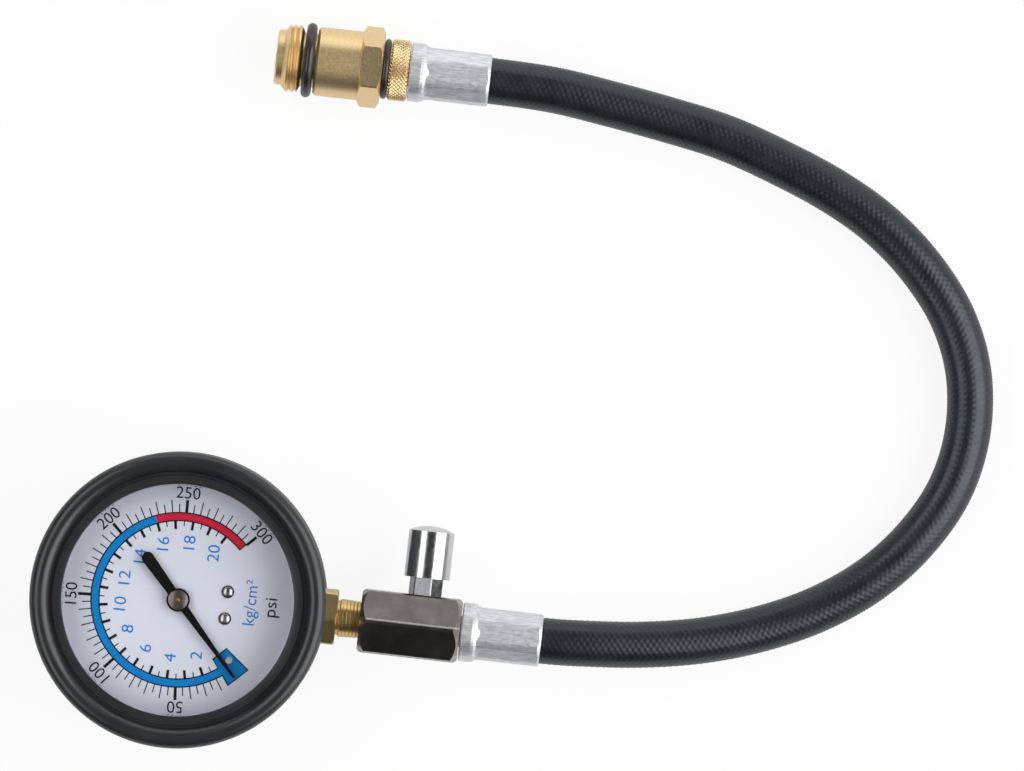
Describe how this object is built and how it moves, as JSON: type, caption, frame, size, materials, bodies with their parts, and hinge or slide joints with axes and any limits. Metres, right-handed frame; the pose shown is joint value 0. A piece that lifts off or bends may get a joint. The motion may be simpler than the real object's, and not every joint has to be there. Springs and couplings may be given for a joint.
{
  "type": "compression tester gauge",
  "caption": "Round dial pressure gauge in a rubber boot, with a push release valve, a crimped rubber hose and a brass spark plug adapter, for reading engine cylinder compression.",
  "frame": {"origin": "on the gauge axis, at the flat back of the rubber boot", "axes": "+Z out of the dial, +X along the stem towards the hose, +Y towards the release button"},
  "size_m": [0.2506, 0.198, 0.036],
  "materials": {
    "boot_rubber": "moulded matte",
    "seal_rubber": "smooth",
    "hose_rubber": "cloth-wrap imprint",
    "case_steel": "black enamel",
    "bright_steel": "turned",
    "lens_clear": "clear moulded",
    "dial_enamel": "satin white print ground",
    "pointer_black": "satin black",
    "brass": "turned",
    "bronze": "drawn",
    "dark_nickel": "dark nickel plate",
    "chrome_plate": "bright plate",
    "ferrule_aluminium": "scuffed bare metal"
  },
  "bodies": {
    "gauge": {"rubber_boot": "boot_rubber", "gauge_case": "case_steel", "case_screws": "bright_steel", "lens": "lens_clear", "dial_plate": "dial_enamel", "dial_screws": "chrome_plate", "dial_posts": "brass", "stop_pin": "bright_steel", "hairspring": "bronze", "hairspring_stud": "brass", "bourdon_tube": "bronze", "movement_back_plate": "brass", "movement_front_plate": "brass", "movement_pillars": "brass", "movement_screws": "bright_steel", "socket": "brass", "valve_body": "dark_nickel", "release_neck": "chrome_plate", "release_spring": "bright_steel", "valve_hose_tail": "brass", "valve_ferrule": "ferrule_aluminium", "hose": "hose_rubber", "end_ferrule": "ferrule_aluminium", "hose_end": "brass", "hose_end_seal": "seal_rubber", "core_body": "brass", "core_spring": "bright_steel"},
    "pointer": {"pointer": "pointer_black", "pointer_bush": "bright_steel", "pinion_arbor": "brass", "hairspring_collet": "brass"},
    "sector": {"sector_gear": "brass", "sector_arbor": "brass", "sector_link_pin": "bright_steel"},
    "link": {"link": "brass", "tube_link_pin": "bright_steel"},
    "button": {"release_button": "chrome_plate", "release_stem": "brass", "release_seal": "seal_rubber"},
    "check_pin": {"core_pin": "bright_steel", "core_seal": "seal_rubber"},
    "adapter": {"plug_adapter": "brass", "plug_seal": "seal_rubber"}
  },
  "joints": [
    {"name": "pointer_turn", "type": "hinge", "parent": "gauge", "child": "pointer", "pos_m": [0, 0, 0.0264], "axis": [0, 0, -1], "range_deg": [0, 267], "stiffness_Nm_per_rad": 0.0001, "springref_deg": -11.46, "deforming": ["hairspring", "bourdon_tube"]},
    {"name": "sector_swing", "type": "hinge", "parent": "gauge", "child": "sector", "pos_m": [0, 0.0135, 0.0159], "axis": [0, 0, 1], "range_deg": [0, 33.4]},
    {"name": "link_swing", "type": "hinge", "parent": "sector", "child": "link", "pos_m": [0.00144, 0.01829, 0.01675], "axis": [0, 0, 1], "range_deg": [-33.4, 0]},
    {"name": "button_press", "type": "slide", "parent": "gauge", "child": "button", "axis": [0, -1, 0], "range_m": [0, 0.0025], "stiffness_N_per_m": 800, "springref_m": -0.003, "deforming": ["release_spring"]},
    {"name": "check_pin_lift", "type": "slide", "parent": "gauge", "child": "check_pin", "axis": [1, 0, 0], "range_m": [0, 0.0012], "stiffness_N_per_m": 200, "springref_m": -0.001, "deforming": ["core_spring"]},
    {"name": "adapter_off", "type": "slide", "parent": "gauge", "child": "adapter", "axis": [-1, 0, 0], "range_m": [0, 0.014]}
  ],
  "couplings": [
    {"joint": "sector_swing", "follows": "pointer_turn", "ratio": 0.125},
    {"joint": "link_swing", "follows": "pointer_turn", "ratio": -0.125}
  ]
}
